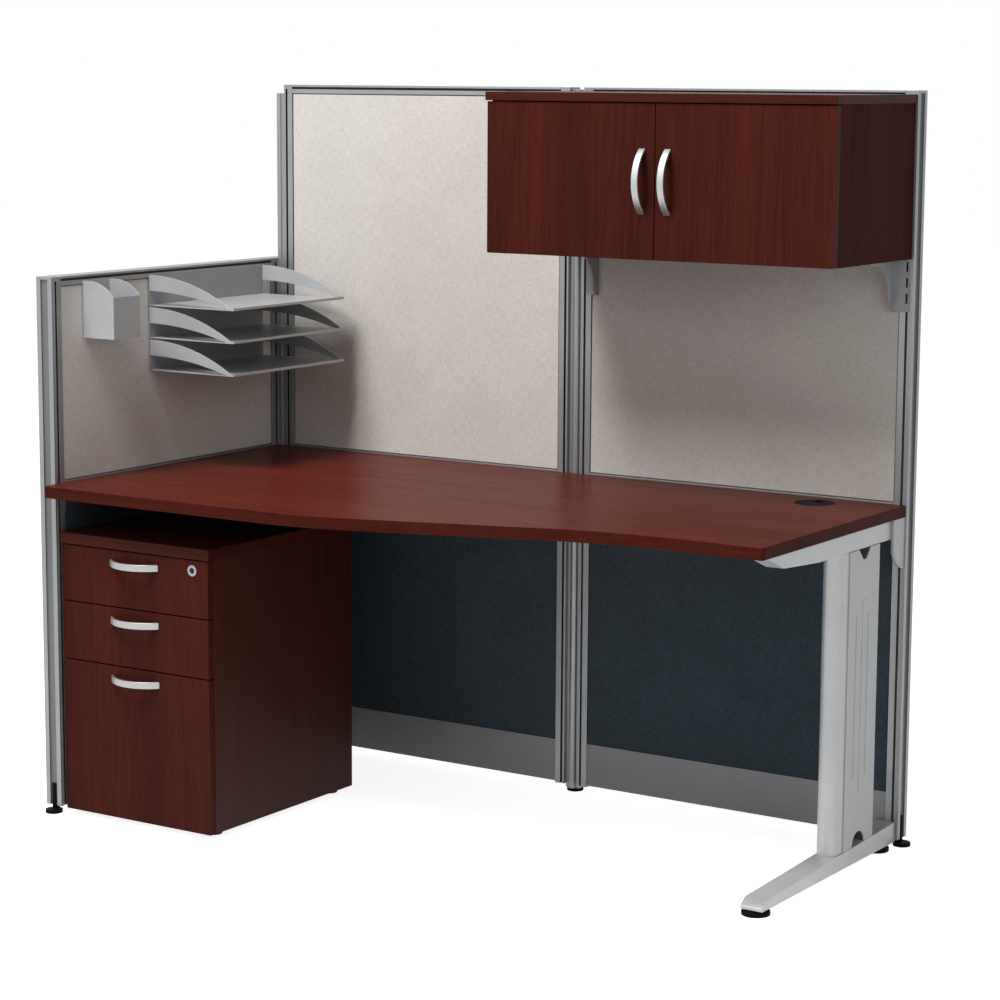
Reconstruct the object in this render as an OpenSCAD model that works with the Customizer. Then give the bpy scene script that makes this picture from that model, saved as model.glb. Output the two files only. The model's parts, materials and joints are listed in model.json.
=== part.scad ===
// Cubicle workstation: three fabric panels, a shaped desktop on a side leg,
// an overhead cabinet, a drawer pedestal, a paper tray and a pencil cup.
// X runs along the back panels, +Y points to the back and +Z points up.
// The origin is on the floor, under the centre of the whole workstation.

/* [Panels] */
// Thickness of every panel
panel_t = 44; // [36:1:56]
// Height of the two back panels
panel_h = 1600; // [1450:5:1800]
// Width of each back panel
panel_w = 796; // [720:2:900]
// Height of the side panel
side_h = 1190; // [1050:5:1350]
// Length of the side panel, front to back
side_len = 790; // [720:5:900]
// Width of the post between the two back panels
post_w = 36; // [30:1:50]
// Width of the corner post that shows beside the left panel
corner_w = 22; // [16:1:40]
// How much lower than the panels the corner post ends
corner_drop = 20; // [4:1:60]
// Width of the upright frame bars
stile_w = 24; // [20:1:34]
// Height of the top and middle frame bars
rail_h = 20; // [16:1:30]
// How far the middle frame bar shows above the desktop
rail_show = 3; // [2:1:12]
// Width of the groove in the frame bars
groove_w = 5; // [3:0.5:7]
// Depth of the groove in the frame bars
groove_d = 6; // [3:0.5:10]
// Distance from the groove to the outer edge of the bar
groove_inset = 5; // [3:0.5:8]
// Gap between a fabric face and its frame
seam = 2; // [1:0.5:4]
// Depth of a fabric face behind the frame face
tile_recess = 2; // [1:0.5:4]
// Thickness of the padded fabric face of a tile
tile_pad = 7; // [4:0.5:12]
// Thickness of the end trim channels
trim_t = 6; // [4:1:12]
// Width of the slot in the end trim channels
trim_slot_w = 20; // [10:1:26]

/* [Kick plates and panel feet] */
// Height of the bottom edge of the kick plates
kick_z = 20; // [16:1:40]
// Height of the top edge of the kick plates
kick_top = 118; // [90:1:150]
// Thickness of a kick plate
kick_t = 2; // [1:0.5:4]
// Height of the lower end of the upright frame bars
stile_z = 16; // [12:1:20]
// Diameter of a panel foot
foot_d = 38; // [28:1:44]
// Thickness of a foot disc
foot_disc_h = 8; // [5:1:10]
// Diameter of a foot's stem
stem_d = 10; // [6:1:14]
// Height of the top of the pin that holds a foot in an end trim's slot
foot_pin_z = 66; // [40:1:120]

/* [Desktop] */
// Height of the desktop's upper face
desk_z = 740; // [680:5:780]
// Thickness of the desktop
desk_t = 25; // [18:1:32]
// Depth of the desktop at its left end
desk_deep = 836; // [760:2:900]
// Depth of the desktop at its right end
desk_shallow = 638; // [560:2:720]
// Distance from the left end to the start of the front curve
curve_start = 598; // [480:5:640]
// Distance from the left end to the end of the front curve
curve_end = 1458; // [1320:5:1540]
// Radius of the outward part of the front curve
curve_out_r = 700; // [500:10:900]
// Radius of the inward part of the front curve
curve_in_r = 900; // [600:10:1100]
// Radius of the desktop's front corners
desk_corner_r = 8; // [2:1:30]
// Gap between the desktop and the panels
desk_gap = 2; // [1:0.5:5]
// Distance from the desktop's right edge to the outer face of the end trim
desk_end_inset = 3; // [0:1:10]
// Diameter of the cable hole
cable_hole_d = 76; // [60:1:90]
// Distance from the cable hole's centre to the right edge
cable_hole_x = 173; // [100:1:260]
// Distance from the cable hole's centre to the back edge
cable_hole_y = 75; // [60:1:120]
// Diameter of the cable hole's flange
flange_d = 86; // [80:1:110]
// Thickness of the cable hole's flange
flange_h = 2; // [1:0.5:4]
// Wall of the cable hole's liner
liner_wall = 3; // [2:0.5:6]
// Thickness of the cable hole's cap
cap_t = 5; // [3:0.5:8]
// Width of the slot in the cap
cap_slot_w = 18; // [8:1:24]

/* [Side leg] */
// Width of the leg, along the desktop's front
leg_w = 50; // [40:1:64]
// Distance from the leg to the desktop's right edge
leg_inset = 3; // [0:1:20]
// Depth of the column, front to back
column_depth = 180; // [140:2:220]
// Distance from the column's back to the panel face
column_back = 110; // [80:2:150]
// Thickness of the column's outer cover
cover_t = 4; // [2:0.5:8]
// Depth of the cover, front to back
cover_depth = 138; // [100:2:160]
// Height of the cover's ribs above its face
rib_proud = 1.5; // [0.5:0.5:4]
// Width of the cover's outer ribs
rib_w = 12; // [6:1:18]
// Length of the cover's middle rib
rib_long = 405; // [300:5:460]
// Length of the cover's outer ribs
rib_short = 340; // [240:5:400]
// Radius of the half-round cable hole at the cover's foot
cable_arch_r = 28; // [20:1:36]
// Depth of the cable holes behind the cover
cable_pocket = 26; // [10:1:36]
// Length of the foot, front to back
foot_len = 604; // [520:2:640]
// Height of the foot's lower face
foot_z = 12; // [10:1:20]
// Height of the foot's back end
foot_back_h = 44; // [34:1:56]
// Height of the foot's front end
foot_front_h = 20; // [12:1:28]
// Diameter of the leg's floor discs
leg_disc_d = 58; // [40:1:64]
// Length of the top arm, front to back
arm_len = 598; // [540:2:640]
// Height of the top arm at the column
arm_h = 41; // [30:1:56]
// Length of the top arm's tapered front
arm_taper = 214; // [150:2:260]
// Height of the top arm's front tip
arm_tip_h = 5; // [3:1:12]
// Distance from the top arm's back end to the panel face
arm_back = 9; // [8:1:60]

/* [Desk brackets] */
// Radius of the half-round desk brackets
desk_bracket_r = 54; // [40:1:70]
// Thickness of the desk brackets
desk_bracket_t = 6; // [3:0.5:10]
// Thickness of the sheet of the flanges and rails
sheet_t = 3; // [2:0.5:5]
// Width of a bracket's flange
flange_w = 30; // [20:1:31]
// Height of the rail that carries the desktop on the side panel
side_rail_h = 40; // [30:1:60]
// Length of that rail
side_rail_len = 600; // [400:10:700]

/* [Overhead cabinet] */
// Width of the cabinet
cab_w = 812; // [740:2:900]
// How much lower than the panels the cabinet's top lies
cab_drop = 8; // [2:1:60]
// Height of the cabinet
cab_h = 337; // [300:1:345]
// Depth of the cabinet behind its doors
cab_depth = 345; // [300:5:400]
// Distance from the cabinet's right side to the end of the right panel
cab_over = 1; // [0:1:6]
// Thickness of the cabinet's boards
board_t = 18; // [12:1:25]
// Thickness of the cabinet's back
cab_back_t = 9; // [4:1:16]
// Overhang of the cabinet's top past its sides
top_over = 3; // [0:1:10]
// Overhang of the cabinet's top past its doors
top_front_over = 4; // [0:1:12]
// Thickness of a door
door_t = 18; // [14:1:24]
// Gap round and between the doors
door_gap = 2; // [1:0.5:4]
// Gap between a door and the cabinet's front edges
door_air = 1; // [0.5:0.5:3]
// Diameter of a hinge cup
hinge_cup_d = 35; // [26:1:35]
// Depth of a hinge cup
hinge_cup_h = 12; // [8:0.5:13]
// Distance from a hinge to the door's end
hinge_inset = 70; // [50:1:100]
// Length of a hinge arm inside the cabinet
hinge_arm_len = 48; // [30:1:60]

/* [Cabinet brackets] */
// Reach of a cabinet bracket under the cabinet
cab_bracket_reach = 118; // [100:2:180]
// Height of a cabinet bracket
cab_bracket_h = 110; // [90:2:150]
// Depth of a cabinet bracket's lower part
cab_bracket_depth = 22; // [16:1:40]
// Height of a cabinet bracket's arm at its tip
cab_bracket_tip = 11; // [5:1:14]
// Thickness of a cabinet bracket
cab_bracket_t = 6; // [3:0.5:10]
// Distance from a cabinet bracket to the frame bar beside it
cab_bracket_inset = 12; // [6:1:24]

/* [Handles] */
// Length of a handle
handle_len = 136; // [110:2:170]
// How far a handle stands out
handle_rise = 32; // [28:1:45]
// Thickness of a handle's strap
handle_t = 6; // [4:0.5:9]
// Width of a handle's strap
handle_w = 15; // [10:1:20]
// Distance from a door's handle to the gap between the doors
door_handle_x = 30; // [22:1:50]
// Distance from a drawer's handle to the top of its front
drawer_handle_z = 27; // [20:1:40]

/* [Pedestal] */
// Width of the pedestal's case
ped_w = 410; // [360:2:440]
// Depth of the pedestal's case, with the drawer fronts
ped_depth = 512; // [460:2:560]
// Distance from the pedestal's front to the panel face
ped_front = 785; // [700:5:810]
// Gap between the pedestal's case and the side panel
ped_gap = 6; // [5:1:40]
// Height of the case's lower edge
ped_z = 12; // [10:1:30]
// Height of the pedestal's upper face
ped_top_z = 634; // [560:2:660]
// Thickness of the pedestal's top
ped_top_t = 24; // [16:1:32]
// Overhang of the pedestal's top on all sides
ped_over = 4; // [0:1:5]
// Thickness of the case's sides
ped_board = 16; // [12:1:20]
// Thickness of a drawer front
front_t = 18; // [14:1:24]
// Gap between two drawer fronts
front_gap = 3; // [2:0.5:5]
// Height of the lower drawer front
front_low_h = 339; // [280:1:345]
// Height of the middle drawer front
front_mid_h = 127; // [110:1:140]
// Depth of a drawer's box
box_depth = 460; // [380:5:465]
// Wall of a drawer's box
box_wall = 12; // [8:1:14]
// Height of the upper drawers' boxes
box_low_h = 76; // [60:1:78]
// Height of the lower drawer's box
box_tall_h = 250; // [180:2:260]
// Thickness of a runner
runner_t = 12.5; // [10:0.5:16]
// Height of a runner
runner_h = 40; // [30:1:50]
// Radius of the lock's barrel
lock_r = 9.5; // [7:0.5:10]
// Radius of the lock's face ring
lock_ring_r = 12; // [11:0.5:13]
// Distance from the lock to the right edge of its drawer front
lock_x = 42; // [30:1:60]
// Distance from the lock to the top of its drawer front
lock_z = 22; // [20:1:24]

/* [Paper tray] */
// Width of the tray, along the side panel
tray_w = 414; // [340:2:480]
// Height of the tray's back plate
tray_plate_h = 218; // [200:2:240]
// Depth of a shelf
shelf_depth = 240; // [180:2:260]
// Height from one shelf to the next
shelf_pitch = 73; // [60:1:80]
// Thickness of the tray's sheet
tray_t = 2; // [1.5:0.5:3]
// Height of a shelf's side at the back
shelf_side_h = 70; // [40:1:72]
// Height of the opening under a shelf's side at the back
shelf_arch_h = 34; // [20:1:36]
// Distance from the tray's middle to the panel face
tray_mid = 268; // [240:2:380]
// Overlap of the hung plates with the top frame bar
hang_lap = 7; // [4:1:12]

/* [Pencil cup] */
// Width of the cup, along the side panel
cup_w = 88; // [70:1:120]
// Depth of the cup
cup_depth = 88; // [60:1:110]
// Height of the cup at its back
cup_h = 125; // [100:1:150]
// Height of the cup's outer wall
cup_front_h = 92; // [70:1:110]
// Wall of the cup
cup_wall = 2; // [1.5:0.5:4]
// Distance from the cup's middle to the panel face
cup_mid = 652; // [620:2:700]

/* [Hidden] */

$fn = 64;
// Overrun of a cut past the face that it opens
over = 1;
// Gap of a running fit
run_gap = 0.05;
// Gap between a drawer's box and its runners
slide_gap = 0.3;
// How far a corner cap reaches below the top bar
cap_lap = 2;

// Places along X
overall_w = panel_t + corner_w + 2 * panel_w + post_w + trim_t + foot_d / 2;
side_out_x = -overall_w / 2;
side_in_x = side_out_x + panel_t;
left_x = side_in_x + corner_w;
post_x = left_x + panel_w;
right_x = post_x + post_w;
trim_x = right_x + panel_w;
end_x = trim_x + trim_t;

// Places along Y
overall_d = desk_deep + desk_gap + panel_t;
back_y = overall_d / 2;
face_y = back_y - panel_t;
mid_y = back_y - panel_t / 2;

// Desktop
desk_x = side_in_x + desk_gap;
desk_end_x = end_x - desk_end_inset;
desk_back_y = face_y - desk_gap;
desk_under = desk_z - desk_t;
mid_rail_z = desk_z + rail_show - rail_h;

// The front curve is an outward arc, a straight line and an inward arc.
curve_steps = 20;
curve_c1 = [desk_x + curve_start, desk_back_y - desk_deep + curve_out_r];
curve_c2 = [desk_x + curve_end, desk_back_y - desk_shallow - curve_in_r];
curve_v = curve_c2 - curve_c1;
curve_turn = atan2(curve_v[1], curve_v[0]) - acos((curve_out_r + curve_in_r) / norm(curve_v));

// Side leg
leg_x1 = desk_end_x - leg_inset;
leg_x0 = leg_x1 - leg_w;
column_x1 = leg_x1 - cover_t;
column_y1 = face_y - column_back;
column_y0 = column_y1 - column_depth;
leg_back_y = face_y - desk_gap;
arm_under = desk_under - arm_h;
foot_slope = (foot_back_h - foot_front_h) / foot_len;
// Height of the foot's upper face where the column's front stands
column_z = foot_z + foot_front_h + foot_slope * (foot_len - column_back - column_depth);

// Overhead cabinet
cab_x1 = trim_x + cab_over;
cab_x0 = cab_x1 - cab_w;
cab_top_z = panel_h - cab_drop;
cab_z = cab_top_z - cab_h;
cab_side_top = cab_top_z - board_t;
cab_front_y = face_y - cab_depth;
door_back_y = cab_front_y - door_air;
door_face_y = door_back_y - door_t;
door_low = cab_z;
door_high = cab_side_top - door_gap;
cab_mid_x = (cab_x0 + cab_x1) / 2;
door_w = cab_w / 2 - door_gap / 2;
hinge_zs = [door_low + hinge_inset, door_high - hinge_inset];
hinge_plate_t = 4;
hinge_arm_t = 8;
hinge_arm_h = 16;
hinge_gap = 0.5;

// Pedestal
ped_x0 = side_in_x + ped_gap;
ped_x1 = ped_x0 + ped_w;
ped_mid_x = (ped_x0 + ped_x1) / 2;
ped_face_y = face_y - ped_front;
ped_case_y = ped_face_y + front_t;
ped_back_y = ped_face_y + ped_depth;
ped_under = ped_top_z - ped_top_t;
front_side_gap = 1;
front_low_z = ped_z;
front_mid_z = front_low_z + front_low_h + front_gap;
front_top_z = front_mid_z + front_mid_h + front_gap;
front_top_h = ped_under - front_gap - front_top_z;
ped_in_w = ped_w - 2 * ped_board;
box_w = ped_in_w - 2 * runner_t - 2 * slide_gap;
box_lift = 9;
box_floor = 6;
runner_len = box_depth - box_wall;

// Handles: a strap bent to an arc
handle_r = (pow(handle_len / 2, 2) + pow(handle_rise, 2)) / (2 * handle_rise);

// Hung pieces
hang_z = side_h - rail_h + hang_lap;
tray_y0 = face_y - tray_mid - tray_w / 2;
shelf_low_z = hang_z - tray_plate_h + tray_t;
shelf_out_r = (pow(shelf_depth, 2) + pow(shelf_side_h, 2)) / (2 * shelf_side_h);
shelf_arch_len_share = 0.94;
shelf_arch_len = shelf_depth * shelf_arch_len_share;
shelf_arch_r = (pow(shelf_arch_len, 2) + pow(shelf_arch_h, 2)) / (2 * shelf_arch_h);
cup_y0 = face_y - cup_mid - cup_w / 2;
cup_z0 = hang_z - cup_h;

// A box from its lowest corner and its highest corner
module block(a, b) {
    translate(a) cube(b - a);
}

// An upright round bar
module rod(d, z0, z1) {
    translate([0, 0, z0]) cylinder(d = d, h = z1 - z0);
}

// ---- panels, drawn along X from their own corner ----

// Groove along both faces of a panel, from one corner to the other
module face_grooves(a, b) {
    for (y = [-over, panel_t - groove_d])
        block([a[0], y, a[1]], [b[0], y + groove_d + over, b[1]]);
}

module frame(len, h) {
    top = h - rail_h;
    mid = mid_rail_z;
    difference() {
        union() {
            for (x = [0, len - stile_w])
                block([x, 0, stile_z], [x + stile_w, panel_t, top - cap_lap]);
            block([stile_w, 0, top], [len - stile_w, panel_t, h]);
            block([stile_w, 0, mid], [len - stile_w, panel_t, mid + rail_h]);
            block([stile_w, tile_recess + kick_t, kick_z], [len - stile_w, panel_t - tile_recess - kick_t, kick_top]);
            // lips that join the top bar to the upright bars
            for (x = [stile_w - stile_w / 4, len - stile_w])
                block([x, panel_t / 4, top - rail_h], [x + stile_w / 4, 3 * panel_t / 4, top + rail_h / 2]);
        }
        for (x = [groove_inset, len - groove_inset - groove_w])
            face_grooves([x, stile_z - over], [x + groove_w, top + over]);
        face_grooves([stile_w - over, h - groove_inset - groove_w], [len - stile_w + over, h - groove_inset]);
    }
}

// Cap at a panel's top corner, with a pocket for the lip of the top bar
module corner_cap(h, flip) {
    top = h - rail_h;
    mirror([flip ? 1 : 0, 0, 0])
        difference() {
            block([0, 0, top - cap_lap], [stile_w, panel_t, h]);
            block([stile_w - stile_w / 4, panel_t / 4, top - cap_lap - over], [stile_w + over, 3 * panel_t / 4, top + rail_h / 2]);
            face_grooves([groove_inset, top - cap_lap - over], [groove_inset + groove_w, h - groove_inset - groove_w]);
        }
}

// Fabric tile with a padded face on both sides
module tile(len, z0, z1) {
    block([stile_w, tile_recess + tile_pad, z0], [len - stile_w, panel_t - tile_recess - tile_pad, z1]);
    for (y = [tile_recess, panel_t - tile_recess - tile_pad])
        block([stile_w + seam, y, z0 + seam], [len - stile_w - seam, y + tile_pad, z1 - seam]);
}

module upper_tile(len, h) {
    tile(len, mid_rail_z + rail_h, h - rail_h);
}

module lower_tile(len) {
    tile(len, kick_top, mid_rail_z);
}

module kick_pair(len) {
    for (y = [tile_recess, panel_t - tile_recess - kick_t])
        block([stile_w, y, kick_z], [len - stile_w, y + kick_t, kick_top]);
}

// Foot with its stem, up to the piece that stands on it
module panel_foot(top) {
    rod(foot_d, 0, foot_disc_h);
    rod(stem_d, foot_disc_h, top);
}

// U channel that closes a panel's end; its slot opens away from the panel
module end_channel(h) {
    difference() {
        block([0, 0, stile_z], [trim_t, panel_t, h]);
        block([trim_t / 3, (panel_t - trim_slot_w) / 2, stile_z - over],
              [trim_t + over, (panel_t + trim_slot_w) / 2, h - trim_t]);
    }
}

// Places of the three panels
module at_side() {
    translate([side_out_x, face_y, 0]) rotate([0, 0, -90]) children();
}

module at_left() {
    translate([left_x, face_y, 0]) children();
}

module at_right() {
    translate([right_x, face_y, 0]) children();
}

module side_frame() {
    color("silver") at_side() frame(side_len, side_h);
}

module left_frame() {
    color("silver") at_left() frame(panel_w, panel_h);
}

module right_frame() {
    color("silver") at_right() frame(panel_w, panel_h);
}

module side_upper_tile() {
    color("linen") at_side() upper_tile(side_len, side_h);
}

module side_lower_tile() {
    color("slategray") at_side() lower_tile(side_len);
}

module left_upper_tile() {
    color("linen") at_left() upper_tile(panel_w, panel_h);
}

module left_lower_tile() {
    color("slategray") at_left() lower_tile(panel_w);
}

module right_upper_tile() {
    color("linen") at_right() upper_tile(panel_w, panel_h);
}

module right_lower_tile() {
    color("slategray") at_right() lower_tile(panel_w);
}

module kick_plates() {
    color("gray") {
        at_side() kick_pair(side_len);
        at_left() kick_pair(panel_w);
        at_right() kick_pair(panel_w);
    }
}

// Post in the corner: as high as the side panel over that panel's end,
// and up to the left panel's cap beside the left panel
module corner_post() {
    color("silver")
        difference() {
            union() {
                block([side_out_x, face_y, stile_z], [side_in_x, back_y, side_h]);
                block([side_in_x, face_y, stile_z], [left_x, back_y, panel_h - corner_drop]);
            }
            // rebate along half of the side that faces the desk
            block([left_x - corner_w / 2, face_y - over, stile_z - over], [left_x + over, face_y + groove_d / 2, panel_h]);
        }
}

// Post between the back panels, with a round bead on both faces
module middle_post() {
    bead_r = post_w / 4;
    color("silver")
        intersection() {
            union() {
                block([post_x, face_y + bead_r, foot_disc_h], [right_x, back_y - bead_r, panel_h - groove_inset]);
                for (y = [face_y + bead_r, back_y - bead_r])
                    translate([post_x + post_w / 2, y, 0]) rod(2 * bead_r, foot_disc_h, panel_h - groove_inset);
            }
            block([post_x, face_y, 0], [right_x, back_y, panel_h]);
        }
}

module side_end_trim() {
    color("silver") at_side() translate([side_len, 0, 0]) end_channel(side_h);
}

module right_end_trim() {
    color("silver") translate([trim_x, face_y, 0]) end_channel(panel_h);
}

module corner_caps() {
    color("silver") {
        at_side() corner_cap(side_h, false);
        at_side() translate([side_len, 0, 0]) corner_cap(side_h, true);
        for (x = [left_x, right_x])
            translate([x, face_y, 0]) {
                corner_cap(panel_h, false);
                translate([panel_w, 0, 0]) corner_cap(panel_h, true);
            }
    }
}

// Foot under an end trim, with a pin in the trim's slot; drawn at the panel's end
module end_foot() {
    pin_w = trim_slot_w / 2;
    web_x = -trim_t * 2 / 3;
    rod(foot_d, 0, foot_disc_h);
    block([web_x - pin_w, -pin_w / 2, foot_disc_h], [web_x, pin_w / 2, stile_z]);
    block([web_x, -pin_w / 2, foot_disc_h], [0, pin_w / 2, foot_pin_z]);
}

module panel_feet() {
    color("black") {
        translate([side_out_x + panel_t / 2, face_y - side_len - trim_t, 0]) rotate([0, 0, -90]) end_foot();
        translate([side_out_x + panel_t / 2, mid_y, 0]) panel_foot(stile_z);
        translate([post_x + post_w / 2, mid_y, 0]) rod(foot_d, 0, foot_disc_h);
        translate([end_x, mid_y, 0]) end_foot();
    }
}

// ---- desktop ----

// Points of an arc about a centre, from one angle to another
function arc(c, r, a0, a1) =
    [for (i = [0 : curve_steps]) c + r * [cos(a0 + (a1 - a0) * i / curve_steps), sin(a0 + (a1 - a0) * i / curve_steps)]];

module desk_outline() {
    front_left = [desk_x + desk_corner_r, desk_back_y - desk_deep + desk_corner_r];
    front_right = [desk_end_x - desk_corner_r, desk_back_y - desk_shallow + desk_corner_r];
    polygon(concat(
        [[desk_x, desk_back_y]],
        arc(front_left, desk_corner_r, 180, 270),
        arc(curve_c1, curve_out_r, -90, curve_turn),
        arc(curve_c2, curve_in_r, curve_turn + 180, 90),
        arc(front_right, desk_corner_r, -90, 0),
        [[desk_end_x, desk_back_y]]
    ));
}

module at_cable_hole() {
    translate([desk_end_x - cable_hole_x, desk_back_y - cable_hole_y, 0]) children();
}

module desktop() {
    color("saddlebrown")
        difference() {
            translate([0, 0, desk_under]) linear_extrude(desk_t) desk_outline();
            at_cable_hole() rod(cable_hole_d, desk_under - over, desk_z + over);
            // rebate for the liner's flange
            at_cable_hole() rod(flange_d, desk_z - flange_h, desk_z + over);
        }
}

module cable_liner() {
    outer_d = cable_hole_d - 4 * run_gap;
    color("black") at_cable_hole()
        difference() {
            union() {
                rod(outer_d, desk_under, desk_z);
                rod(flange_d - 4 * run_gap, desk_z - flange_h, desk_z);
            }
            rod(outer_d - 2 * liner_wall, desk_under - over, desk_z + over);
            rod(outer_d - liner_wall, desk_z - cap_t, desk_z + over);
        }
}

// Round cap with a slot for cables at its edge
module cable_cap() {
    cap_d = cable_hole_d - 4 * run_gap - liner_wall - 2 * slide_gap;
    color("black") at_cable_hole()
        difference() {
            rod(cap_d, desk_z - cap_t, desk_z);
            hull()
                for (y = [cap_d / 4, cap_d])
                    translate([0, y, 0]) rod(cap_slot_w, desk_z - 2 * cap_t, desk_z + over);
        }
}

// ---- side leg ----

// Draws a profile given in Y and Z, extruded along X between two places
module along_x(x0, x1) {
    translate([x0, 0, 0]) rotate([90, 0, 90]) linear_extrude(x1 - x0) children();
}

// Foot with a bevelled toe
module leg_foot() {
    y0 = leg_back_y - foot_len;
    color("lightgray")
        along_x(leg_x0, leg_x1)
            polygon([
                [y0, foot_z],
                [leg_back_y, foot_z],
                [leg_back_y, foot_z + foot_back_h],
                [y0 + foot_front_h, foot_z + foot_front_h + foot_slope * foot_front_h],
                [y0, foot_z + foot_front_h / 3]
            ]);
}

// Profile of the space that the foot fills, up to its sloping face
module foot_wedge() {
    polygon([
        [leg_back_y - foot_len, foot_z - over],
        [leg_back_y, foot_z - over],
        [leg_back_y, foot_z + foot_back_h],
        [leg_back_y - foot_len, foot_z + foot_front_h]
    ]);
}

// Profile of the two cable holes: half-round on the foot, a notch under the arm
module cable_holes() {
    mid = column_y1 - cover_depth / 2;
    z0 = foot_z + foot_front_h + foot_slope * (mid - leg_back_y + foot_len);
    r = cable_arch_r;
    translate([mid, z0]) circle(r = r);
    polygon([
        [mid - r, arm_under + over],
        [mid + r, arm_under + over],
        [mid + r / 4, arm_under - r * 4 / 5],
        [mid - r / 4, arm_under - r * 4 / 5]
    ]);
}

module leg_column() {
    nose = (column_x1 - leg_x0) / 2;
    z_profile_top = arm_under;
    color("lightgray")
        difference() {
            union() {
                translate([leg_x0 + nose, column_y0 + nose, 0]) rod(2 * nose, foot_z, z_profile_top);
                block([leg_x0, column_y0 + nose, foot_z], [column_x1, column_y1, z_profile_top]);
            }
            // the column stands on the foot's sloping face
            along_x(leg_x0 - over, leg_x1 + over) foot_wedge();
            along_x(column_x1 - cable_pocket, leg_x1) cable_holes();
        }
}

module leg_cover() {
    y0 = column_y1 - cover_depth;
    mid = (y0 + column_y1) / 2;
    z1 = arm_under;
    mid_z = (foot_z + foot_back_h + z1) / 2;
    color("gainsboro")
        difference() {
            union() {
                block([column_x1, y0, foot_z], [leg_x1 - rib_proud, column_y1, z1]);
                for (i = [-1, 0, 1])
                    block([leg_x1 - rib_proud, mid + i * cover_depth / 5 - rib_w / 2, mid_z - (i == 0 ? rib_long : rib_short) / 2],
                          [leg_x1, mid + i * cover_depth / 5 + rib_w / 2, mid_z + (i == 0 ? rib_long : rib_short) / 2]);
            }
            along_x(column_x1 - over, leg_x1 + over) foot_wedge();
            along_x(column_x1 - over, leg_x1 + over) cable_holes();
        }
}

// Arm under the desktop, with a tapered front and a round back end
module leg_arm() {
    y1 = face_y - arm_back;
    y0 = desk_back_y - arm_len;
    side_x = (leg_w - arm_h) / 2;
    color("lightgray")
        along_x(leg_x0 + side_x, column_x1)
            polygon(concat(
                [[y0, desk_under]],
                arc([y1 - arm_h, desk_under], arm_h, 0, -90),
                [
                    [y0 + arm_taper, arm_under],
                    [y0 + arm_taper * 3 / 10, arm_under + arm_h / 4],
                    [y0, desk_under - arm_tip_h]
                ]
            ));
}

module leg_discs() {
    mid_x = (leg_x0 + leg_x1) / 2;
    color("black")
        for (y = [leg_back_y - leg_disc_d / 2 - foot_z, leg_back_y - foot_len + foot_front_h]) {
            translate([mid_x, y, 0]) rod(leg_disc_d, 0, foot_disc_h);
            translate([mid_x, y, 0]) rod(stem_d, foot_disc_h, foot_z);
        }
}

// ---- brackets under the desktop ----

// Half-round plate under the desktop, with a flange under the top and one on the post.
// The flanges start at x0 beside the plate, and the upper one is as long as its depth.
module desk_bracket(x0, depth) {
    z = desk_under - desk_bracket_r;
    translate([-desk_bracket_t / 2, 0, 0])
        intersection() {
            translate([0, face_y, z]) rotate([0, 90, 0]) cylinder(r = desk_bracket_r, h = desk_bracket_t);
            block([-over, face_y - desk_bracket_r, z - desk_bracket_r], [desk_bracket_t + over, face_y, desk_under]);
        }
    block([x0, face_y - depth, desk_under - sheet_t], [x0 + flange_w, face_y, desk_under]);
    block([x0, face_y - sheet_t, z - desk_bracket_r / 2], [x0 + flange_w, face_y, desk_under]);
    block([-desk_bracket_t / 2, face_y - desk_bracket_r, z], [desk_bracket_t / 2, face_y, desk_under]);
}

module desk_brackets() {
    color("silver") {
        // the leg's arm ends close in front of the right one, so its upper flange is only a sheet deep
        translate([trim_x, 0, 0]) desk_bracket(desk_bracket_t / 2 - flange_w, sheet_t);
        translate([right_x + stile_w / 2, 0, 0]) desk_bracket(-flange_w / 2, desk_bracket_r);
        translate([left_x + stile_w / 2, 0, 0]) desk_bracket(-flange_w / 2, desk_bracket_r);
    }
}

// Angle on the side panel's frame that carries the desktop's left end
module desk_side_rail() {
    y0 = desk_back_y - side_len + stile_w;
    color("silver") {
        block([side_in_x, y0, desk_under - side_rail_h], [side_in_x + sheet_t, y0 + side_rail_len, desk_under]);
        block([side_in_x, y0, desk_under - sheet_t], [side_in_x + side_rail_h, y0 + side_rail_len, desk_under]);
    }
}

// ---- overhead cabinet ----

module cabinet_top() {
    color("sienna")
        block([cab_x0 - top_over, door_face_y - top_front_over, cab_side_top], [cab_x1 + top_over, face_y, cab_top_z]);
}

module cabinet_bottom() {
    color("sienna")
        block([cab_x0 + board_t, cab_front_y, cab_z], [cab_x1 - board_t, face_y, cab_z + board_t]);
}

module cabinet_side_left() {
    color("sienna") block([cab_x0, cab_front_y, cab_z], [cab_x0 + board_t, face_y, cab_side_top]);
}

module cabinet_side_right() {
    color("sienna") block([cab_x1 - board_t, cab_front_y, cab_z], [cab_x1, face_y, cab_side_top]);
}

module cabinet_back() {
    color("sienna")
        block([cab_x0 + board_t, face_y - cab_back_t, cab_z + board_t], [cab_x1 - board_t, face_y, cab_side_top]);
}

// Left door; the right one is its mirror image
module door() {
    difference() {
        block([cab_x0, door_face_y, door_low], [cab_x0 + door_w, door_back_y, door_high]);
        for (z = hinge_zs)
            translate([cab_x0 + board_t + hinge_cup_d / 2, door_back_y - hinge_cup_h, z])
                rotate([-90, 0, 0]) cylinder(d = hinge_cup_d, h = hinge_cup_h + over);
    }
}

// Hinge cup in the door with the arm that reaches into the cabinet
module hinge_arms() {
    arm_x = cab_x0 + board_t + hinge_plate_t + hinge_gap;
    for (z = hinge_zs) {
        translate([cab_x0 + board_t + hinge_cup_d / 2, door_back_y - hinge_cup_h, z])
            rotate([-90, 0, 0]) cylinder(d = hinge_cup_d - 4 * run_gap, h = hinge_cup_h);
        block([arm_x, door_back_y, z - hinge_arm_h / 2], [arm_x + hinge_arm_t, cab_front_y + hinge_arm_len, z + hinge_arm_h / 2]);
    }
}

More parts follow.
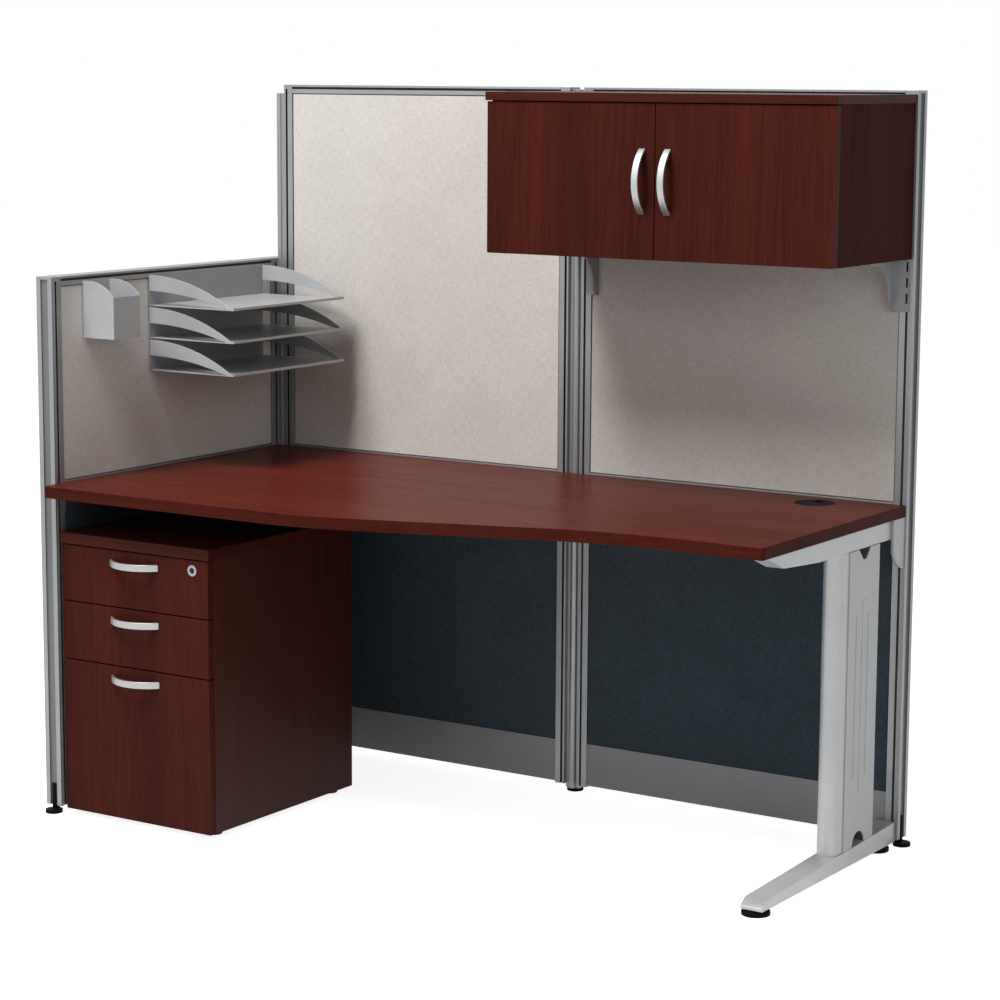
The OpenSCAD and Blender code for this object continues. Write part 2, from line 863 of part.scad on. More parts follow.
module door_handle() {
    translate([cab_x0 + door_w - door_handle_x + door_gap / 2, door_face_y, (door_low + door_high) / 2])
        handle(true);
}

// Mirrors a piece of the left door to the right door
module other_side() {
    translate([cab_mid_x, 0, 0]) mirror([1, 0, 0]) translate([-cab_mid_x, 0, 0]) children();
}

// Arc-shaped strap in front of a face at y = 0, upright or level
module handle(upright) {
    rotate([0, upright ? 0 : 90, 0])
        intersection() {
            translate([0, handle_r - handle_rise, 0])
                rotate([0, 90, 0])
                    difference() {
                        translate([0, 0, -handle_w / 2]) cylinder(r = handle_r, h = handle_w, $fn = 128);
                        translate([0, 0, -handle_w]) cylinder(r = handle_r - handle_t, h = 2 * handle_w, $fn = 128);
                    }
            block([-handle_w, -handle_rise - over, -handle_len / 2], [handle_w, 0, handle_len / 2]);
        }
}

module door_left() {
    color("brown") door();
}

module door_right() {
    color("brown") other_side() door();
}

module door_handle_left() {
    color("silver") door_handle();
}

module door_handle_right() {
    color("silver") other_side() door_handle();
}

module hinge_arms_left() {
    color("silver") hinge_arms();
}

module hinge_arms_right() {
    color("silver") other_side() hinge_arms();
}

module hinge_plate_pair() {
    x = cab_x0 + board_t;
    for (z = hinge_zs)
        block([x, cab_front_y + hinge_cup_h, z - hinge_arm_h], [x + hinge_plate_t, cab_front_y + hinge_arm_len, z + hinge_arm_h]);
}

module hinge_plates() {
    color("silver") {
        hinge_plate_pair();
        other_side() hinge_plate_pair();
    }
}

// Bracket with a hollow curve, drawn with its web at x = 0 and its flange towards -X
module cabinet_bracket() {
    z0 = cab_z - cab_bracket_h;
    z1 = cab_z - cab_bracket_tip;
    depth = cab_bracket_depth;
    curve_r = min(cab_bracket_h * 2 / 3, cab_bracket_reach - depth - cab_bracket_tip);
    along_x(0, cab_bracket_t)
        difference() {
            polygon([
                [face_y, z0],
                [face_y, cab_z],
                [face_y - cab_bracket_reach, cab_z],
                [face_y - cab_bracket_reach, z1],
                [face_y - depth - curve_r, z1],
                [face_y - depth - curve_r, z1 - curve_r],
                [face_y - depth, z1 - curve_r],
                [face_y - depth / 3, z0]
            ]);
            translate([face_y - depth - curve_r, z1 - curve_r]) circle(r = curve_r);
        }
    block([-cab_bracket_inset - stile_w / 2, face_y - sheet_t, z0], [cab_bracket_t, face_y, cab_z]);
    block([-cab_bracket_inset, face_y - cab_bracket_reach, cab_z - sheet_t], [cab_bracket_t, face_y, cab_z]);
}

module cabinet_bracket_left() {
    color("silver") translate([right_x + stile_w + cab_bracket_inset, 0, 0]) cabinet_bracket();
}

// Strip over the frame bar's groove, with three slots that open onto it
module slotted_strip() {
    z0 = cab_z - cab_bracket_h;
    groove_x = trim_x - groove_inset - groove_w;
    slot_h = cab_bracket_h * 2 / 11;
    pitch = cab_bracket_h * 3 / 10;
    difference() {
        block([trim_x - stile_w / 2, face_y - sheet_t, z0], [trim_x - groove_inset / 2, face_y, cab_z]);
        for (i = [0, 1, 2])
            block([groove_x, face_y - sheet_t - over, cab_z - sheet_t * 2 - slot_h - i * pitch],
                  [groove_x + groove_w, face_y + over, cab_z - sheet_t * 2 - i * pitch]);
    }
}

module cabinet_bracket_right() {
    color("silver") {
        translate([trim_x - stile_w - cab_bracket_inset, 0, 0]) mirror([1, 0, 0]) cabinet_bracket();
        slotted_strip();
    }
}

// ---- paper tray and pencil cup, hung on the side panel ----

module tray_plate() {
    color("lightgray")
        block([side_in_x, tray_y0, hang_z - tray_plate_h], [side_in_x + tray_t, tray_y0 + tray_w, hang_z]);
}

// Side of a shelf: a curved band that falls from the plate to the front corner
module shelf_side(z) {
    x0 = side_in_x + tray_t;
    translate([0, tray_t, 0]) rotate([90, 0, 0]) linear_extrude(tray_t)
        intersection() {
            difference() {
                translate([x0, z + shelf_side_h - shelf_out_r]) circle(r = shelf_out_r, $fn = 128);
                translate([x0, z + shelf_arch_h - shelf_arch_r]) circle(r = shelf_arch_r, $fn = 128);
            }
            translate([x0, z]) square([shelf_depth, shelf_side_h]);
        }
}

module shelf(z) {
    x0 = side_in_x + tray_t;
    block([x0, tray_y0, z], [x0 + shelf_depth, tray_y0 + tray_w, z + tray_t]);
    // raised front edge
    block([x0 + shelf_depth - tray_t, tray_y0 + tray_t, z], [x0 + shelf_depth, tray_y0 + tray_w - tray_t, z + 3 * tray_t]);
    for (y = [tray_y0, tray_y0 + tray_w - tray_t])
        translate([0, y, 0]) shelf_side(z);
}

module tray_shelves() {
    color("lightgray")
        for (i = [0, 1, 2])
            shelf(shelf_low_z + i * shelf_pitch);
}

// Open cup; its sides fall in a long curve to the lower outer wall
module pencil_cup() {
    y1 = cup_y0 + cup_w;
    drop = cup_h - cup_front_h;
    fall = cup_depth * 4 / 5;
    fall_r = (fall * fall + drop * drop) / (2 * drop);
    color("lightgray")
        difference() {
            translate([0, y1, 0]) rotate([90, 0, 0]) linear_extrude(cup_w)
                union() {
                    translate([side_in_x, cup_z0]) square([cup_depth, cup_front_h]);
                    translate([side_in_x, cup_z0]) square([cup_depth - fall, cup_h]);
                    intersection() {
                        translate([side_in_x, cup_z0]) square([cup_depth, cup_h]);
                        translate([side_in_x + cup_depth - fall, hang_z - fall_r]) circle(r = fall_r, $fn = 128);
                    }
                }
            block([side_in_x + cup_wall, cup_y0 + cup_wall, cup_z0 + cup_wall],
                  [side_in_x + cup_depth - cup_wall, y1 - cup_wall, hang_z + over]);
            block([side_in_x + cup_depth - cup_wall - over, cup_y0 + cup_wall, cup_z0 + cup_front_h],
                  [side_in_x + cup_depth + over, y1 - cup_wall, hang_z + over]);
        }
}

// ---- pedestal ----

module pedestal_top() {
    color("sienna")
        block([ped_x0 - ped_over, ped_face_y - ped_over, ped_under], [ped_x1 + ped_over, ped_back_y + ped_over, ped_top_z]);
}

module pedestal_sides() {
    color("sienna")
        for (x = [ped_x0, ped_x1 - ped_board])
            block([x, ped_case_y, ped_z], [x + ped_board, ped_back_y, ped_under]);
}

module pedestal_back() {
    color("sienna")
        block([ped_x0 + ped_board, ped_back_y - ped_board, ped_z], [ped_x1 - ped_board, ped_back_y, ped_under]);
}

module pedestal_bottom() {
    color("sienna")
        block([ped_x0 + ped_board, ped_case_y, ped_z], [ped_x1 - ped_board, ped_back_y - ped_board, ped_z + ped_board]);
}

module pedestal_feet() {
    color("black")
        for (x = [ped_x0 + foot_d, ped_x1 - foot_d])
            for (y = [ped_case_y + foot_d, ped_back_y - foot_d])
                translate([x, y, 0]) rod(foot_d, 0, ped_z);
}

// Height of a runner's lower edge for a drawer front that starts at z
function runner_z(z) = z + box_lift + box_floor;

module drawer_runners() {
    color("darkgray")
        for (z = [front_low_z + ped_board, front_mid_z, front_top_z])
            for (x = [ped_x0 + ped_board, ped_x1 - ped_board - runner_t])
                block([x, ped_case_y + box_wall, runner_z(z)], [x + runner_t, ped_case_y + box_wall + runner_len, runner_z(z) + runner_h]);
}

module drawer_front(z, h) {
    block([ped_x0 + front_side_gap, ped_face_y, z], [ped_x1 - front_side_gap, ped_case_y - run_gap * 2, z + h]);
}

module drawer_box(z, h) {
    y0 = ped_case_y - run_gap * 2;
    x0 = ped_mid_x - box_w / 2;
    difference() {
        block([x0, y0, z + box_lift], [x0 + box_w, y0 + box_depth, z + box_lift + h]);
        block([x0 + box_wall, y0 + box_wall, z + box_lift + box_floor],
              [x0 + box_w - box_wall, y0 + box_depth - box_wall, z + box_lift + h + over]);
    }
}

module drawer_handle(z, h) {
    translate([ped_mid_x, ped_face_y, z + h - drawer_handle_z]) handle(false);
}

module at_lock() {
    translate([ped_x1 - front_side_gap - lock_x, ped_face_y, front_top_z + front_top_h - lock_z])
        rotate([-90, 0, 0]) children();
}

module drawer_front_top() {
    color("brown")
        difference() {
            drawer_front(front_top_z, front_top_h);
            at_lock() translate([0, 0, -over]) cylinder(r = lock_r, h = front_t + 2 * over);
        }
}

module drawer_box_top() {
    color("dimgray") drawer_box(front_top_z, box_low_h);
}

module drawer_handle_top() {
    color("silver") drawer_handle(front_top_z, front_top_h);
}

module drawer_front_middle() {
    color("brown") drawer_front(front_mid_z, front_mid_h);
}

module drawer_box_middle() {
    color("dimgray") drawer_box(front_mid_z, box_low_h);
}

module drawer_handle_middle() {
    color("silver") drawer_handle(front_mid_z, front_mid_h);
}

module drawer_front_bottom() {
    color("brown") drawer_front(front_low_z, front_low_h);
}

module drawer_box_bottom() {
    color("dimgray") drawer_box(front_low_z + ped_board, box_tall_h);
}

module drawer_handle_bottom() {
    color("silver") drawer_handle(front_low_z, front_low_h);
}

// Lock with a keyway in its face, a ring round it and a cam behind the front
module lock_barrel() {
    ring_t = lock_ring_r / 8;
    key_w = lock_r / 6;
    cam_len = lock_r * 3 / 2;
    color("silver") at_lock()
        difference() {
            union() {
                translate([0, 0, -ring_t]) cylinder(r = lock_ring_r, h = ring_t);
                cylinder(r = lock_r - run_gap, h = front_t + ring_t);
                translate([-lock_r / 2, -cam_len + over, front_t + ring_t]) cube([lock_r, cam_len + lock_r / 2, ring_t]);
            }
            translate([0, 0, -ring_t - over]) cylinder(r = lock_r * 2 / 3, h = ring_t + over);
            translate([-key_w / 2, -lock_r / 2, -ring_t - over]) cube([key_w, lock_r, ring_t + lock_r / 2]);
        }
}

side_frame();
side_upper_tile();
side_lower_tile();
left_frame();
left_upper_tile();
left_lower_tile();
right_frame();
right_upper_tile();
right_lower_tile();
kick_plates();
corner_post();
middle_post();
side_end_trim();
right_end_trim();
corner_caps();
panel_feet();
desktop();
cable_liner();
cable_cap();
leg_foot();
leg_column();
leg_cover();
leg_arm();
leg_discs();
desk_brackets();
desk_side_rail();
cabinet_top();
cabinet_bottom();
cabinet_side_left();
cabinet_side_right();
cabinet_back();
door_left();
door_right();
door_handle_left();
door_handle_right();
hinge_plates();
hinge_arms_left();
hinge_arms_right();
cabinet_bracket_left();
cabinet_bracket_right();
tray_plate();
tray_shelves();
pencil_cup();
pedestal_top();
pedestal_sides();
pedestal_back();
pedestal_bottom();
pedestal_feet();
drawer_runners();
drawer_front_top();
drawer_box_top();
drawer_handle_top();
drawer_front_middle();
drawer_box_middle();
drawer_handle_middle();
drawer_front_bottom();
drawer_box_bottom();
drawer_handle_bottom();
lock_barrel();
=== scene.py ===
"""Looks of the cubicle workstation.

Every CAD piece gets a softened copy with its own finish: fabric tiles in satin aluminium frames,
cherry laminate boards, silver painted leg and brackets, bow handles and grey sheet accessories.
"""

import json
import math

import bmesh
import bpy
from mathutils import Matrix, Vector


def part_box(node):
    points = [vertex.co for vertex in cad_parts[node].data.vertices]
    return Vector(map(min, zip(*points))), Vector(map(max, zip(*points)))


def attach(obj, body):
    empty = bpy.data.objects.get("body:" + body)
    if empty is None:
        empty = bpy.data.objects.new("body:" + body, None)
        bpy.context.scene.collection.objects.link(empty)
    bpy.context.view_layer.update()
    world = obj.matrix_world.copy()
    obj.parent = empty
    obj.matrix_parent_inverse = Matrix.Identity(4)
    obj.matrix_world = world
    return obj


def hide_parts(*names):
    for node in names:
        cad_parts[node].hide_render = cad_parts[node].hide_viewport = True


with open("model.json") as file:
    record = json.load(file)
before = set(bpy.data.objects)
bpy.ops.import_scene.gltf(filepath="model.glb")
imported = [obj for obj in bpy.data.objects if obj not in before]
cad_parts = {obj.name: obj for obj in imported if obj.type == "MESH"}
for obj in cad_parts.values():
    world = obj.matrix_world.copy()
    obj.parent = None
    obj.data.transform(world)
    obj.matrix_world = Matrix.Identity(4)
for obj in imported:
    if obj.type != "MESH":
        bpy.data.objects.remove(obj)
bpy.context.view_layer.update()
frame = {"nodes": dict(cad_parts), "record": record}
body_of_node = {n: b for b, names in frame["record"]["behaviour"]["bodies"].items() for n in names}

MM = 0.001
WHITE = (1, 1, 1, 1)


def colour(red, green, blue):
    """A colour given as it looks on screen, from 0 to 255, as the shader wants it."""
    out = []
    for value in (red, green, blue):
        part = value / 255
        out.append(part / 12.92 if part <= 0.04045 else ((part + 0.055) / 1.055) ** 2.4)
    return (*out, 1.0)


# Shared finishes


def start_finish(name, colours):
    """A node group with a place, colours and a roughness going in, and what those sockets give."""
    group = bpy.data.node_groups.new(name, "ShaderNodeTree")
    sockets = [("Place", "INPUT", "Vector")]
    sockets += [(socket, "INPUT", "Color") for socket in colours]
    sockets += [
        ("Base Roughness", "INPUT", "Float"),
        ("Color", "OUTPUT", "Color"),
        ("Roughness", "OUTPUT", "Float"),
        ("Height", "OUTPUT", "Float"),
    ]
    for socket, way, kind in sockets:
        group.interface.new_socket(socket, in_out=way, socket_type="NodeSocket" + kind)
    return group, group.nodes.new("NodeGroupInput").outputs


def end_finish(group, shown, rough, height):
    """Sends a finish's colour, roughness and height out of its group."""
    out = group.nodes.new("NodeGroupOutput")
    for socket, value in (("Color", shown), ("Roughness", rough), ("Height", height)):
        group.links.new(value, out.inputs[socket])
    return group


def noise(group, place, scale, detail=2.0, rough=0.5):
    """Noise over a place stretched by scale, from 0 to 1."""
    stretch = group.nodes.new("ShaderNodeMapping")
    stretch.inputs["Scale"].default_value = scale
    made = group.nodes.new("ShaderNodeTexNoise")
    made.inputs["Scale"].default_value = 1.0
    made.inputs["Detail"].default_value = detail
    made.inputs["Roughness"].default_value = rough
    group.links.new(place, stretch.inputs["Vector"])
    group.links.new(stretch.outputs["Vector"], made.inputs["Vector"])
    return made.outputs["Fac"]


def spread(group, value, low, high, to_low, to_high):
    """Maps low..high of a value to to_low..to_high."""
    made = group.nodes.new("ShaderNodeMapRange")
    made.inputs["From Min"].default_value = low
    made.inputs["From Max"].default_value = high
    made.inputs["To Min"].default_value = to_low
    made.inputs["To Max"].default_value = to_high
    group.links.new(value, made.inputs["Value"])
    return made.outputs["Result"]


def maths(tree, operation, a, b=0.0):
    """One operation on two values; a plain number is set on its socket."""
    made = tree.nodes.new("ShaderNodeMath")
    made.operation = operation
    for socket, value in zip(made.inputs, (a, b)):
        if isinstance(value, (int, float)):
            socket.default_value = value
        else:
            tree.links.new(value, socket)
    return made.outputs["Value"]


# Places of the mix node's sockets that serve colours
MIX_SHARE = 0
MIX_A = 6
MIX_B = 7
MIX_RESULT = 2


def mixed(group, share, a, b):
    """Colour a turning into colour b as share goes from 0 to 1."""
    made = group.nodes.new("ShaderNodeMix")
    made.data_type = "RGBA"
    group.links.new(share, made.inputs[MIX_SHARE])
    group.links.new(a, made.inputs[MIX_A])
    group.links.new(b, made.inputs[MIX_B])
    return made.outputs[MIX_RESULT]


def cherry_grain():
    """Laminate with fine dark pores, soft bands and arched figure along Z of the place."""
    group, into = start_finish("cherry_grain", ("Light", "Dark", "Pore"))
    place = into["Place"]
    arches_per_figure = 110.0
    broad = noise(group, place, (9.0, 9.0, 0.7), 3.0)
    figure = noise(group, place, (4.2, 4.2, 0.42), 1.5, 0.4)
    arches = maths(group, "SINE", maths(group, "MULTIPLY", figure, arches_per_figure))
    streak = noise(group, place, (260.0, 260.0, 3.0), 3.0, 0.6)
    pore = noise(group, place, (620.0, 620.0, 14.0), 2.0, 0.6)
    broad_tone = spread(group, broad, 0.3, 0.7, 0.0, 0.62)
    arch_tone = spread(group, arches, -1, 1, 0.0, 0.16)
    streak_tone = spread(group, streak, 0.35, 0.65, -0.12, 0.3)
    tone = maths(group, "ADD", maths(group, "ADD", broad_tone, arch_tone), streak_tone)
    wood = mixed(group, tone, into["Light"], into["Dark"])
    wood = mixed(group, spread(group, pore, 0.56, 0.72, 0.0, 0.8), wood, into["Pore"])
    streak_rough = spread(group, streak, 0.3, 0.7, -0.04, 0.06)
    rough = maths(group, "ADD", into["Base Roughness"], streak_rough)
    return end_finish(group, wood, rough, spread(group, pore, 0.5, 0.75, 1.0, 0.0))


def panel_weave():
    """Woven cloth on an upright panel: slubs along and across, over a fine plain weave."""
    group, into = start_finish("panel_weave", ("Light", "Dark"))
    parts = group.nodes.new("ShaderNodeSeparateXYZ")
    group.links.new(into["Place"], parts.inputs["Vector"])
    along = maths(group, "ADD", parts.outputs["X"], parts.outputs["Y"])
    up = parts.outputs["Z"]
    flat = group.nodes.new("ShaderNodeCombineXYZ")
    group.links.new(along, flat.inputs["X"])
    group.links.new(up, flat.inputs["Y"])
    place = flat.outputs["Vector"]
    thread_pace = 4500.0
    across_slub = noise(group, place, (55.0, 420.0, 1.0), 2.0, 0.6)
    upright_slub = noise(group, place, (420.0, 55.0, 1.0), 2.0, 0.6)
    cloud = noise(group, place, (9.0, 9.0, 1.0))
    slub = maths(group, "ADD", across_slub, upright_slub)
    threads = [maths(group, "SINE", maths(group, "MULTIPLY", way, thread_pace)) for way in (along, up)]
    weave = maths(group, "MULTIPLY", *threads)
    slub_tone = spread(group, slub, 0.75, 1.25, 0.1, 0.9)
    tone = maths(group, "ADD", slub_tone, spread(group, cloud, 0.3, 0.7, -0.1, 0.1))
    woven = mixed(group, tone, into["Dark"], into["Light"])
    slub_rough = spread(group, slub, 0.75, 1.25, -0.04, 0.04)
    rough = maths(group, "ADD", into["Base Roughness"], slub_rough)
    slub_height = spread(group, slub, 0.7, 1.3, 0.0, 0.6)
    height = maths(group, "ADD", slub_height, spread(group, weave, -1, 1, 0.0, 0.4))
    return end_finish(group, woven, rough, height)


def drawn_metal():
    """Satin metal with faint lines along Z of the place."""
    group, into = start_finish("drawn_metal", ("Tint", "Shade"))
    lines = noise(group, into["Place"], (900.0, 900.0, 6.0), 2.0, 0.6)
    patches = noise(group, into["Place"], (14.0, 14.0, 2.5))
    line_tone = spread(group, lines, 0.3, 0.7, 0.0, 0.5)
    tone = maths(group, "ADD", line_tone, spread(group, patches, 0.3, 0.7, 0.0, 0.5))
    shown = mixed(group, tone, into["Shade"], into["Tint"])
    line_rough = spread(group, lines, 0.3, 0.7, -0.05, 0.05)
    rough = maths(group, "ADD", into["Base Roughness"], line_rough)
    return end_finish(group, shown, rough, lines)


def fine_coat():
    """Paint or moulded plastic with a fine pebbled face and hardly visible clouds."""
    group, into = start_finish("fine_coat", ("Tint", "Shade"))
    pebble = noise(group, into["Place"], (700.0, 700.0, 700.0))
    cloud = noise(group, into["Place"], (11.0, 11.0, 11.0), 3.0)
    cloud_tone = spread(group, cloud, 0.3, 0.7, 0.0, 0.7)
    tone = maths(group, "ADD", cloud_tone, spread(group, pebble, 0.3, 0.7, 0.0, 0.3))
    shown = mixed(group, tone, into["Shade"], into["Tint"])
    cloud_rough = spread(group, cloud, 0.3, 0.7, -0.04, 0.04)
    rough = maths(group, "ADD", into["Base Roughness"], cloud_rough)
    return end_finish(group, shown, rough, pebble)


GRAIN = cherry_grain()
WEAVE = panel_weave()
DRAWN = drawn_metal()
COAT = fine_coat()

# Turns that lay the finish's own Z along an axis of the workstation
ALONG_Z = (0.0, 0.0, 0.0)
ALONG_X = (0.0, math.radians(90), 0.0)
ALONG_Y = (math.radians(90), 0.0, 0.0)


def finish(name, group, colours, rough, bump, turn=ALONG_Z, depth=0.0003, **sockets):
    """A material with one shared finish, turned on the piece, and its own gloss."""
    made = bpy.data.materials.new(name)
    made.use_nodes = True
    tree = made.node_tree
    shader = tree.nodes["Principled BSDF"]
    place = tree.nodes.new("ShaderNodeTexCoord")
    turned = tree.nodes.new("ShaderNodeMapping")
    turned.inputs["Rotation"].default_value = turn
    used = tree.nodes.new("ShaderNodeGroup")
    used.node_tree = group
    for socket, shown in colours.items():
        used.inputs[socket].default_value = colour(*shown)
    used.inputs["Base Roughness"].default_value = rough
    raised = tree.nodes.new("ShaderNodeBump")
    raised.inputs["Strength"].default_value = bump
    raised.inputs["Distance"].default_value = depth
    tree.links.new(place.outputs["Object"], turned.inputs["Vector"])
    tree.links.new(turned.outputs["Vector"], used.inputs["Place"])
    tree.links.new(used.outputs["Color"], shader.inputs["Base Color"])
    tree.links.new(used.outputs["Roughness"], shader.inputs["Roughness"])
    tree.links.new(used.outputs["Height"], raised.inputs["Height"])
    tree.links.new(raised.outputs["Normal"], shader.inputs["Normal"])
    for socket, value in sockets.items():
        shader.inputs[socket.replace("_", " ")].default_value = value
    return made


def laminate(name, light, dark, pore, rough, turn, gloss):
    """Cherry laminate, its grain along the turned Z."""
    colours = {"Light": light, "Dark": dark, "Pore": pore}
    return finish(name, GRAIN, colours, rough, 0.05, turn, Specular_IOR_Level=gloss)


def cloth(name, light, dark):
    """Panel cloth with a raised weave and a faint sheen."""
    return finish(
        name,
        WEAVE,
        {"Light": light, "Dark": dark},
        rough=0.92,
        bump=0.35,
        depth=0.0006,
        Specular_IOR_Level=0.2,
        Sheen_Weight=0.15,
        Sheen_Roughness=0.5,
    )


def metal(name, tint, shade, rough, turn, share):
    """Satin metal, its lines along the turned Z; share says how metallic it is."""
    return finish(name, DRAWN, {"Tint": tint, "Shade": shade}, rough, 0.03, turn, Metallic=share)


def coat(name, tint, shade, rough, bump=0.08, **sockets):
    """Paint or plastic."""
    return finish(name, COAT, {"Tint": tint, "Shade": shade}, rough, bump, **sockets)


CHERRY = {"light": (74, 29, 20), "dark": (51, 18, 12), "pore": (36, 12, 8)}
DEEP_CHERRY = {"light": (72, 30, 22), "dark": (50, 19, 14), "pore": (34, 13, 9)}
SATIN = {"tint": (154, 156, 158), "shade": (137, 139, 141), "rough": 0.42, "share": 0.6}
BOW = {"tint": (176, 176, 176), "shade": (158, 158, 158), "rough": 0.4, "share": 0.8}

# One cherry laminate in two copies: a lighter one on the desktop's top as painted light from above, a
# darker one on its upright edges as painted shade.
desk_top_lit_laminate = laminate("desk_top_lit_laminate", (100, 40, 27), (77, 28, 18), (55, 19, 12), 0.3, ALONG_X, 0.02)
desk_edge_shaded_laminate = laminate("desk_edge_shaded_laminate", (78, 31, 22), (54, 20, 14), (38, 13, 9), 0.4, ALONG_X, 0.02)
case_laminate = laminate("case_laminate", rough=0.45, turn=ALONG_Z, gloss=0.01, **DEEP_CHERRY)
pedestal_laminate = laminate("pedestal_laminate", rough=0.45, turn=ALONG_Z, gloss=0.1, **DEEP_CHERRY)
case_top_laminate = laminate("case_top_laminate", rough=0.42, turn=ALONG_X, gloss=0.06, **CHERRY)
door_laminate = laminate("door_laminate", rough=0.45, turn=ALONG_Z, gloss=0.04, **CHERRY)
linen = cloth("linen_cloth", (215, 210, 203), (191, 186, 179))
slate = cloth("slate_cloth", (70, 84, 92), (44, 55, 62))
bar_metal = metal("bar_aluminium", turn=ALONG_Z, **SATIN)
rail_metal = metal("rail_aluminium", turn=ALONG_X, **SATIN)
side_rail_metal = metal("side_rail_aluminium", turn=ALONG_Y, **SATIN)
# Darker, less metallic aluminium for the walls of the end trims' slots: painted shade in the channel.
slot_shaded_metal = metal("slot_aluminium_painted_shade", (116, 117, 118), (100, 101, 102), 0.5, ALONG_Z, 0.4)
# Painted shade in the frames' grooves, which are bare aluminium: near black, dark grey or grey by how
# deep the shade falls.
groove_deep_shade_black = coat("groove_deep_shade_black", (22, 22, 24), (14, 14, 16), 0.7)
groove_shade_dark = coat("groove_shade_dark", (50, 50, 52), (40, 40, 42), 0.7)
groove_half_shade_grey = coat("groove_half_shade_grey", (82, 83, 85), (70, 71, 73), 0.6)
kick_grey = coat("kick_grey_paint", (150, 152, 154), (138, 140, 142), 0.4)
leg_silver = coat("leg_silver_paint", (198, 199, 200), (186, 187, 188), 0.35, Metallic=0.2)
cover_silver = coat("cover_silver", (190, 191, 192), (178, 179, 180), 0.42, Metallic=0.1)
# Grey for the walls of the column's cable holes: painted shade inside the holes.
hole_shade_grey = coat("cable_hole_shade_grey", (84, 85, 87), (70, 71, 73), 0.7)
bracket_silver = coat("bracket_silver_paint", (176, 177, 179), (164, 165, 167), 0.4, Metallic=0.2)
# A darker copy of the bracket paint for the cabinet brackets: painted shade under the cabinet.
cabinet_bracket_shaded_grey = coat(
    "cabinet_bracket_painted_shade", (155, 156, 157), (143, 144, 145), 0.45, Metallic=0.1
)
bow_metal = metal("bow_handle_metal", turn=ALONG_Z, **BOW)
level_bow_metal = metal("level_bow_handle_metal", turn=ALONG_X, **BOW)
tray_grey = coat("tray_grey_paint", (178, 179, 181), (166, 167, 169), 0.32, Metallic=0.1)
plate_grey = coat("plate_grey_paint", (146, 148, 150), (134, 136, 138), 0.36, Metallic=0.1)
# Dark grey paint of the drawer boxes, also put on the desk's side rail as painted shade under the desk.
drawer_steel_and_rail_shade = coat("drawer_steel_and_rail_shade_paint", (66, 67, 70), (56, 57, 60), 0.45)
zinc = metal("zinc_plated_steel", (182, 184, 188), (160, 162, 166), 0.3, ALONG_Y, 0.95)
black_plastic = coat(
    "black_plastic", (24, 24, 26), (16, 16, 18), 0.5, bump=0.15, Specular_IOR_Level=0.02
)
chrome = metal("lock_chrome", (158, 158, 161), (136, 136, 139), 0.22, ALONG_Y, 1.0)
# Near black for the recess round the keyway: the dark plug, and painted shade on the ring's inner wall,
# which is chrome on the real lock.
keyway_plug_and_shade = coat("keyway_plug_and_shade", (12, 12, 13), (8, 8, 9), 0.6)


# Pieces

WELD_REACH = 0.00001
FLAT_ANGLE = math.radians(0.6)
SHARP_DEGREES = 35


def merged_copy(node, name):
    """A copy of a CAD node's mesh as one object, its corners merged and its flat faces made whole."""
    mesh = frame["nodes"][node].data.copy()
    mesh.name = name
    for layer in ("custom_normal", "sharp_edge"):
        if layer in mesh.attributes:
            mesh.attributes.remove(mesh.attributes[layer])
    shape = bmesh.new()
    shape.from_mesh(mesh)
    bmesh.ops.remove_doubles(shape, verts=shape.verts, dist=WELD_REACH)
    bmesh.ops.dissolve_limit(
        shape,
        angle_limit=FLAT_ANGLE,
        use_dissolve_boundaries=False,
        verts=shape.verts,
        edges=shape.edges,
        delimit=set(),
    )
    shape.to_mesh(mesh)
    shape.free()
    piece = bpy.data.objects.new(name, mesh)
    bpy.context.collection.objects.link(piece)
    return piece


def smooth(piece, sharp):
    """Smooth shading, split where faces meet at more than sharp degrees."""
    for face in piece.data.polygons:
        face.use_smooth = True
    piece.data.set_sharp_from_angle(angle=math.radians(sharp))


def soften(piece, width, steps, sharp):
    """Rounds a piece's edges that are sharper than sharp degrees."""
    rounding = piece.modifiers.new("soft_edges", "BEVEL")
    rounding.width = width
    rounding.segments = steps
    rounding.limit_method = "ANGLE"
    rounding.angle_limit = math.radians(sharp)
    rounding.use_clamp_overlap = True
    rounding.harden_normals = True


def dress(node, material, width=0.8, steps=2, others=(), sharp=SHARP_DEGREES):
    """Shows a CAD node as its copy with edges rounded by width in mm.

    Others are (material, test) for faces that differ; of two tests that fit, the last one counts.
    """
    piece = merged_copy(node, node + "_dressed")
    piece.data.materials.clear()
    piece.data.materials.append(material)
    for other, test in others:
        piece.data.materials.append(other)
    for face in piece.data.polygons:
        face.material_index = 0
        for index, (other, test) in enumerate(others, 1):
            if test(face.center, face.normal):
                face.material_index = index
    smooth(piece, sharp)
    soften(piece, width * MM, steps, sharp)
    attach(piece, body_of_node[node])
    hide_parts(node)


def inward(centre, low, high, axis):
    """How far a point lies inside the nearer of a box's two sides across an axis."""
    return min(centre[axis] - low[axis], high[axis] - centre[axis])


# Panels

# The axis that each panel runs along: 0 for X, 1 for Y
RUN_OF_FRAME = {"side_frame": 1, "left_frame": 0, "right_frame": 0}
GROOVE_INSET = 7.5 * MM
GROOVE_HALF = 2.7 * MM
GROOVE_SHALLOWEST = 0.2 * MM
GROOVE_DEEPEST = 6.4 * MM
STILE_WIDTH = 24.5 * MM


def at_groove_depth(centre, low, high, run):
    """Whether a point lies as deep under a panel's face as its grooves reach."""
    return GROOVE_SHALLOWEST < inward(centre, low, high, 1 - run) < GROOVE_DEEPEST


